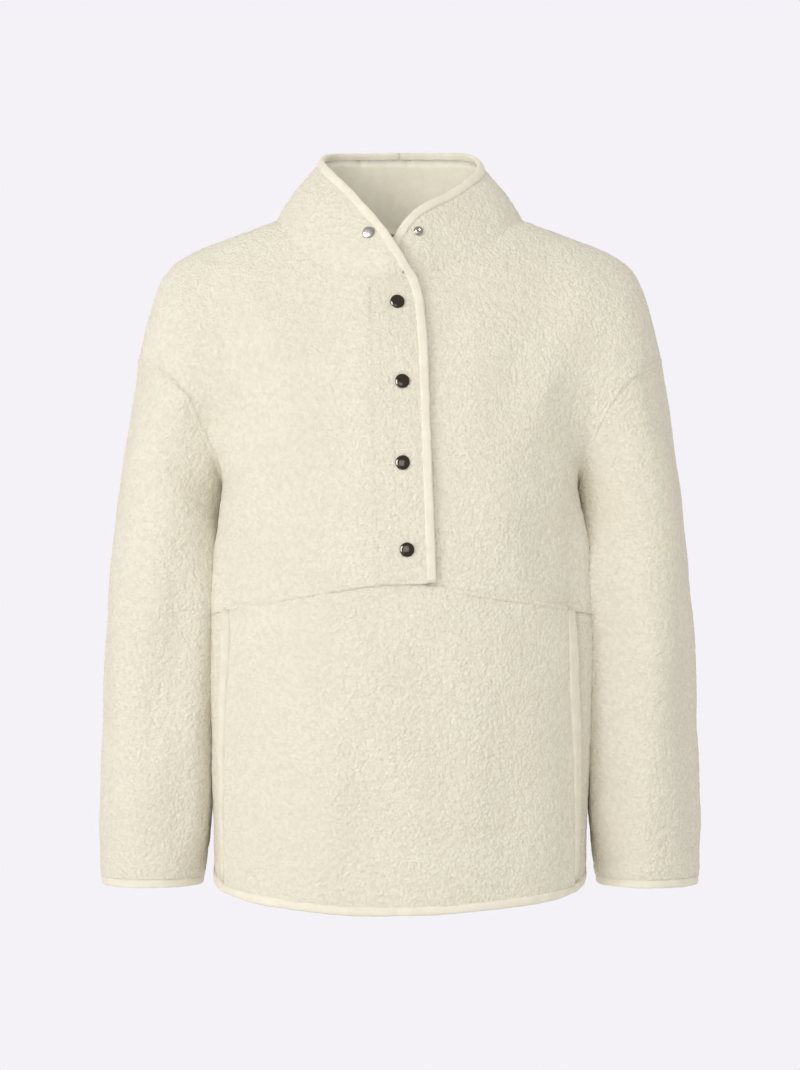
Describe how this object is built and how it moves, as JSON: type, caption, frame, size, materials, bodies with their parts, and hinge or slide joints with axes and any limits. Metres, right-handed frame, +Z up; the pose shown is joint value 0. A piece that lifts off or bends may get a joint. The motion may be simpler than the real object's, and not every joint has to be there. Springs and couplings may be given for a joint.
{
  "type": "fleece sweatshirt",
  "caption": "Fleece pullover filled out as worn, with a half snap placket, stand collar, slanted hand pockets and long open sleeves.",
  "frame": {"origin": "middle of the neck base, between the two neck points of the shoulders, where the wearer's neck and shoulders hold the garment", "axes": "+X to the wearer's left, -Y to the front, +Z up"},
  "size_m": [0.5718, 0.2616, 0.719],
  "materials": {
    "fleece": "nubby pile, matte",
    "smooth_knit": "smooth knit, matte",
    "nickel": "dark polished"
  },
  "bodies": {
    "root": {"back": "fleece", "front_upper_right": "fleece", "front_upper_left": "fleece", "front_lower": "fleece", "pocket_layer_right": "fleece", "pocket_layer_left": "fleece", "placket": "fleece", "sleeve_right": "fleece", "sleeve_left": "fleece", "collar": "fleece", "collar_facing": "smooth_knit", "pocket_binding_right": "smooth_knit", "pocket_binding_left": "smooth_knit", "cuff_binding_right": "smooth_knit", "cuff_binding_left": "smooth_knit", "hem_binding": "smooth_knit", "edge_binding_right": "smooth_knit", "edge_binding_left": "smooth_knit", "snap_cap_1": "nickel", "snap_cap_2": "nickel", "snap_cap_3": "nickel", "snap_cap_4": "nickel", "snap_cap_collar": "nickel", "snap_stud_collar": "nickel"}
  },
  "joints": []
}
